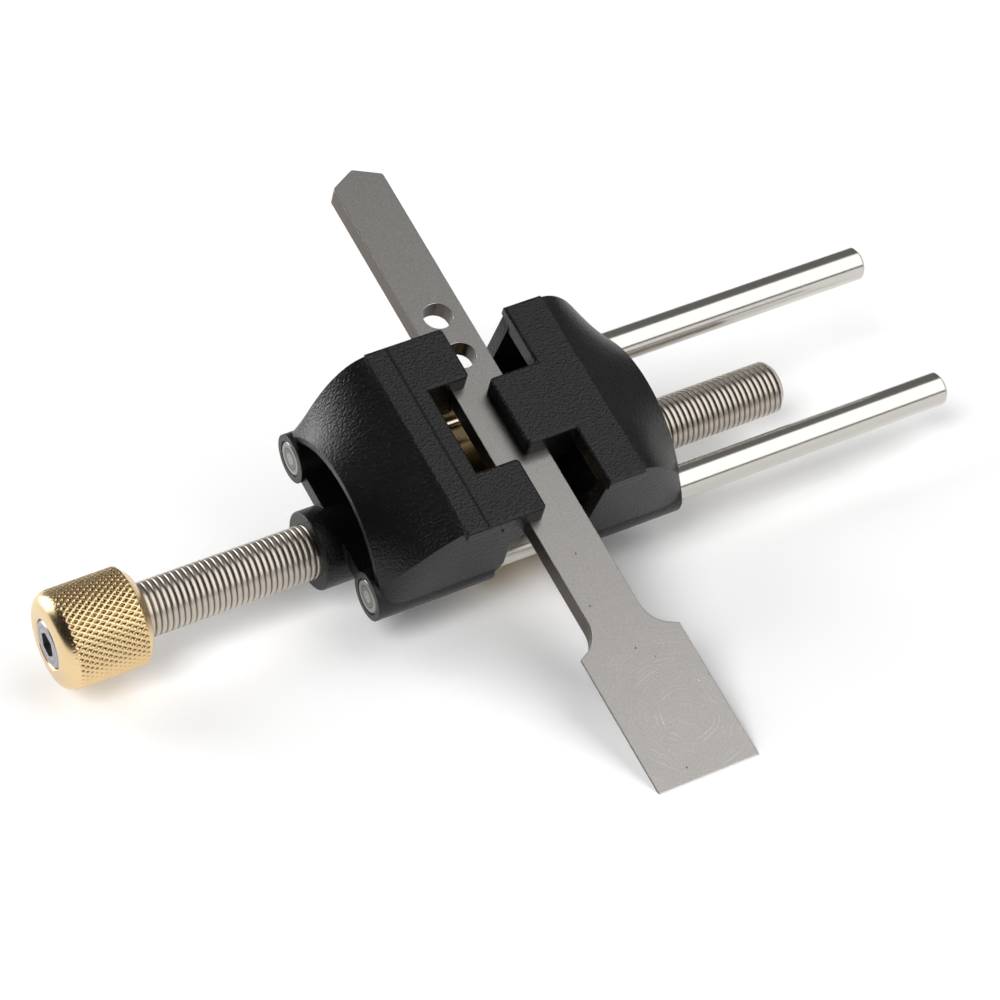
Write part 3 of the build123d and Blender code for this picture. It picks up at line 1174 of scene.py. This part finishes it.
@dataclass
class Castings:
    """The two jaws, in powder coat, which almost fills the die's line on the left one.

    Attributes:
        guide: Frame that the line is laid out in.
        line_x: The line's two sides.
        line_half_length: Half its length, along Y.
        line_z: The bottom and the top of the coat in it.
        box_faces: Corners of a box's faces, anticlockwise from outside.
    """

    guide: GuideFrame
    line_x: tuple[float, float] = (-13.125, -12.875)
    line_half_length: float = 18.5
    line_z: tuple[float, float] = (23.88, 23.995)
    box_faces: tuple[tuple[int, ...], ...] = (
        (0, 1, 3, 2),
        (4, 6, 7, 5),
        (0, 4, 5, 1),
        (2, 3, 7, 6),
        (0, 2, 6, 4),
        (1, 5, 7, 3),
    )

    def fill_line(self, coat: bpy.types.Material) -> bpy.types.Object:
        """Lay the strip of coat in the die's line.

        It is a box whose corners take every mix of the three pairs of ends.

        Args:
            coat: The coat.

        Returns:
            The strip.
        """
        ends = (self.line_x, (-self.line_half_length, self.line_half_length), self.line_z)
        corners = np.stack(np.meshgrid(*ends, indexing="ij"), axis=-1).reshape(-1, 3)
        mesh = bpy.data.meshes.new("coat_in_die_line")
        mesh.from_pydata(self.guide.to_row(corners).tolist(), [], self.box_faces)
        strip = bpy.data.objects.new("coat_in_die_line", mesh)
        bpy.context.scene.collection.objects.link(strip)
        assign(strip, coat)
        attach(strip, "left_jaw")
        return strip

    def dress(self, nodes: dict[str, bpy.types.Object]) -> None:
        """Give both jaws their coat.

        Args:
            nodes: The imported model's nodes.
        """
        finish = PowderCoat(self.guide, "powder_coated_zinc", "#060607", 0.37, 0.0)
        coat = finish.material()
        for name in ("left_jaw", "right_jaw"):
            assign(nodes[name], coat)
            log.info("dressed %s in %s", name, finish.name)
        strip = self.fill_line(coat)
        log.info("laid %s", strip.name)


@dataclass
class PlainParts:
    """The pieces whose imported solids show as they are.

    Attributes:
        guide: Frame that their patterns are laid out in.
        rod_y: Distance of each rod's axis from the middle, along Y.
        rod_z: Its height over the screw's axis.
    """

    guide: GuideFrame
    rod_y: float = 14.5
    rod_z: float = 6.0

    def finishes(self) -> dict[str, Finish]:
        """Choose each piece's finish.

        Returns:
            Finish by node name.
        """
        guide = self.guide
        # Fine turning leaves a soft grey shine on the washers
        washer = TurnedMetal(guide, "turned_washer_steel", "#b9b7b3", 0.28)
        # Phosphate makes the spring steel of the rings even and nearly black
        ring = Finish(guide, "phosphated_spring_steel", "#2a2a2b", 0.42)
        # Grinding leaves the rods bright, with fine lines round them
        near, far = (
            TurnedMetal(
                guide,
                "ground_stainless_rod_" + name,
                "#c8c5bf",
                0.19,
                line=0.14,
                depth=0.002,
                centre=(0, side * self.rod_y, self.rod_z),
            )
            for name, side in (("near", -1), ("far", 1))
        )
        return {
            "guide_rod_near": near,
            "guide_rod_far": far,
            # The screw's head is faced, and duller than the rods, with rings of painted
            # highlight
            "knob_screw": TurnedMetal(
                guide,
                "socket_screw_steel",
                "#b4b1b6",
                0.3,
                face_colour="#8e8c90",
                face_painted_highlight="#b2b0b4",
            ),
            # Polish makes the brass a warm mirror, and the sintered bronze stays dull
            "roller": TurnedMetal(guide, "polished_brass", "#d4bb8c", 0.16, depth=0.001),
            "roller_bush": TurnedMetal(guide, "sintered_bronze", "#9a6a3c", 0.35),
            "thrust_washer_left": washer,
            "thrust_washer_right": washer,
            "retaining_ring_left": ring,
            "retaining_ring_right": ring,
            "plane_blade": LappedSteel(guide, "lapped_tool_steel", "#969390", 0.36),
        }

    def dress(self, nodes: dict[str, bpy.types.Object]) -> None:
        """Assign each finish to its node.

        Args:
            nodes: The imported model's nodes.
        """
        finishes = self.finishes()
        made = {finish: finish.material() for finish in dict.fromkeys(finishes.values())}
        for name, finish in finishes.items():
            assign(nodes[name], made[finish])
            log.info("dressed %s in %s", name, finish.name)


def assign(piece: bpy.types.Object, material: bpy.types.Material) -> None:
    """Put one material on all of a piece.

    Args:
        piece: The piece.
        material: Its material.
    """
    piece.data.materials.clear()
    piece.data.materials.append(material)


@dataclass(frozen=True)
class LightPatch:
    """A patch of the studio's walls that is paler than the rest.

    Attributes:
        across: The direction's x where the patch starts and ends.
        over: Angle from the zenith towards the front, in degrees, where it does.
        radiance: What it adds to the walls.
        blur: Softness of its edges in the same two measures.
    """

    across: tuple[float, float]
    over: tuple[float, float]
    radiance: float
    blur: tuple[float, float]


@dataclass
class Studio:
    """Camera, light and floor.

    A softbox hangs to the right, from just behind the zenith down to the front horizon,
    and its edges draw the sharp bands on the rods. The room is dark, with a dim wall at
    the back right and a dim strip at the far right. The left jaw's slope mirrors two
    bright patches low at the back left, one over the other. A large lamp at the left
    front fills the coat and the floor.

    Attributes:
        guide: Frame that the camera is placed in.
        camera_at: The camera's place.
        camera_right: Its right-hand direction.
        camera_up: Its upward direction.
        focal: Its focal length.
        sensor: The width of its sensor.
        clip: The nearest and the farthest that it sees, in metres.
        room: Radiance of the dark room.
        patches: The paler patches.
        lamp: Irradiance of the lamp, square to its light.
        lamp_from: Its azimuth from the front towards the left, and its elevation.
        lamp_size: The angle that it fills, in degrees.
        floor_radius: The floor's radius in metres.
        floor_sides: Corners of its rim.
        paper: Its colour.
    """

    guide: GuideFrame
    camera_at: tuple[float, float, float] = (-235.99, -259.63, 520.96)
    camera_right: tuple[float, float, float] = (0.8706, -0.4615, 0.1705)
    camera_up: tuple[float, float, float] = (0.3134, 0.7874, 0.5309)
    focal: float = 132.17
    sensor: float = 36.0
    clip: tuple[float, float] = (0.05, 20.0)
    room: float = 0.015
    patches: tuple[LightPatch, ...] = (
        LightPatch((0.08, 0.7), (-7.0, 79.0), 1.9, (0.12, 3.5)),
        LightPatch((-0.1, 1.2), (-95.0, -4.0), 0.17, (0.3, 8.0)),
        LightPatch((-0.7, -0.25), (-95.0, -58.0), 6.5, (0.2, 14.0)),
        LightPatch((-0.7, -0.2), (-58.0, -34.0), 3.2, (0.2, 14.0)),
        LightPatch((0.94, 1.2), (-95.0, 95.0), 0.5, (0.06, 10.0)),
    )
    lamp: float = 2.1
    lamp_from: tuple[float, float] = (52.0, 43.0)
    lamp_size: float = 32.0
    floor_radius: float = 3.0
    floor_sides: int = 64
    paper: str = "#fcfcfc"

    def add_camera(self) -> None:
        """Put the camera where the photograph was taken from."""
        right = Vector(self.camera_right).normalized()
        up = Vector(self.camera_up)
        up = (up - up.dot(right) * right).normalized()
        turn = Matrix((right, up, right.cross(up))).transposed()
        data = bpy.data.cameras.new("camera")
        data.lens = self.focal
        data.sensor_width = self.sensor
        data.clip_start, data.clip_end = self.clip
        camera = bpy.data.objects.new("camera", data)
        bpy.context.scene.collection.objects.link(camera)
        rotation = Matrix(self.guide.axes()).transposed() @ turn
        place = Vector(self.guide.to_row(np.array([self.camera_at]))[0])
        camera.matrix_world = Matrix.Translation(place) @ rotation.to_4x4()
        bpy.context.scene.camera = camera

    def band(
        self, tree: Tree, value: Socket, ends: tuple[float, float], blur: float
    ) -> Socket:
        """Give 1 between two ends and 0 outside, by the distance from their middle.

        Args:
            tree: Node tree that gets the nodes.
            value: The measure.
            ends: Where the band starts and ends.
            blur: Width of each soft edge.

        Returns:
            The band's socket.
        """
        middle, half = (ends[0] + ends[1]) / 2, (ends[1] - ends[0]) / 2
        away = add(tree, "Math", {0: value, 1: middle}, operation="SUBTRACT")
        apart = add(tree, "Math", {0: away.outputs[0]}, operation="ABSOLUTE")
        return add(
            tree,
            "MapRange",
            {
                "Value": apart.outputs[0],
                "From Min": half + blur / 2,
                "From Max": half - blur / 2,
            },
            interpolation_type="SMOOTHSTEP",
        ).outputs[0]

    def add_world(self) -> None:
        """Light the scene by direction.

        Each patch is a band of x times a band of the angle atan2(-y, z), and the patches
        add up over the dark room. Camera rays see plain white.
        """
        world = bpy.data.worlds.new("studio")
        bpy.context.scene.world = world
        world.use_nodes = True
        tree = world.node_tree
        tree.nodes.clear()
        place = add(tree, "TexCoord").outputs["Generated"]
        split = add(tree, "SeparateXYZ", {0: place})
        front = add(tree, "Math", {0: split.outputs["Y"], 1: -1.0}, operation="MULTIPLY")
        angle = add(
            tree, "Math", {0: front.outputs[0], 1: split.outputs["Z"]}, operation="ARCTAN2"
        )
        over = add(tree, "Math", {0: angle.outputs[0]}, operation="DEGREES").outputs[0]
        walls: Any = self.room
        for patch in self.patches:
            wide = self.band(tree, split.outputs["X"], patch.across, patch.blur[0])
            high = self.band(tree, over, patch.over, patch.blur[1])
            shown = add(tree, "Math", {0: wide, 1: high}, operation="MULTIPLY").outputs[0]
            walls = add(
                tree,
                "Math",
                {0: shown, 1: patch.radiance, 2: walls},
                operation="MULTIPLY_ADD",
            ).outputs[0]
        seen = add(tree, "LightPath").outputs["Is Camera Ray"]
        strength = add(tree, "Mix", {0: seen, 2: walls, 3: 1.0})
        white = {"Color": linear("#ffffff"), "Strength": strength.outputs[0]}
        light = add(tree, "Background", white)
        out = add(tree, "OutputWorld", {"Surface": light.outputs[0]})
        out.is_active_output = True

    def add_lamp(self) -> None:
        """Hang the large lamp. It has no hard image of its own in the bright metal."""
        data = bpy.data.lights.new("left_front_lamp", "SUN")
        data.energy = self.lamp
        data.angle = math.radians(self.lamp_size)
        lamp = bpy.data.objects.new("left_front_lamp", data)
        lamp.visible_glossy = False
        bpy.context.scene.collection.objects.link(lamp)
        azimuth, elevation = (math.radians(v) for v in self.lamp_from)
        towards = Vector(
            (
                -math.sin(azimuth) * math.cos(elevation),
                -math.cos(azimuth) * math.cos(elevation),
                math.sin(elevation),
            )
        )
        lamp.matrix_world = towards.to_track_quat("Z", "Y").to_matrix().to_4x4()

    def add_floor(self) -> None:
        """Lay a wide matte white floor under the guide.

        A corner of its rim at angle t lies at (r cos t, r sin t, 0).
        """
        turn = np.linspace(0, 2 * np.pi, self.floor_sides + 1)[:-1]
        rim = np.stack([np.cos(turn), np.sin(turn), 0 * turn], axis=1)
        corners = (self.floor_radius * rim).tolist()
        mesh = bpy.data.meshes.new("floor")
        mesh.from_pydata(corners, [], [list(range(self.floor_sides))])
        floor = bpy.data.objects.new("floor", mesh)
        bpy.context.scene.collection.objects.link(floor)
        material = bpy.data.materials.new("matte_white_paper")
        material.use_nodes = True
        shader = material.node_tree.nodes["Principled BSDF"]
        shader.inputs["Base Color"].default_value = linear(self.paper)
        shader.inputs["Roughness"].default_value = 1.0
        shader.inputs["Specular IOR Level"].default_value = 0.0
        mesh.materials.append(material)

    def build(self) -> None:
        """Set up the whole studio."""
        self.add_camera()
        self.add_world()
        self.add_lamp()
        self.add_floor()
        bpy.context.scene.view_settings.view_transform = "Standard"


def main() -> None:
    """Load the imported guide, dress it and set up the studio."""
    logging.basicConfig(level=logging.INFO, format="%(message)s")
    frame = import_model()
    guide = GuideFrame.from_joints(frame["joints"])
    Castings(guide).dress(frame["nodes"])
    PlainParts(guide).dress(frame["nodes"])
    # The crests are paler as a painted highlight, and the roots a warm grey as painted
    # shade
    thread = GroovedMetal(
        guide,
        "cut_stainless",
        "#a39b93",
        0.34,
        crest="#c4bbb0",
        root="#6a625a",
        onset=0.5,
    )
    # The ridges are paler as a painted highlight, and the pits dark brown as painted shade
    knurl = GroovedMetal(
        guide,
        "knurled_brass",
        "#e8c78e",
        0.26,
        crest="#e6cb9e",
        root="#1c0f05",
        onset=0.45,
    )
    for maker in (ClampScrew(guide, thread), ClampKnob(guide, knurl)):
        piece = maker.build()
        log.info("built %s with %d faces", piece.name, len(piece.data.polygons))
    Studio(guide).build()


if __name__ == "__main__":
    main()
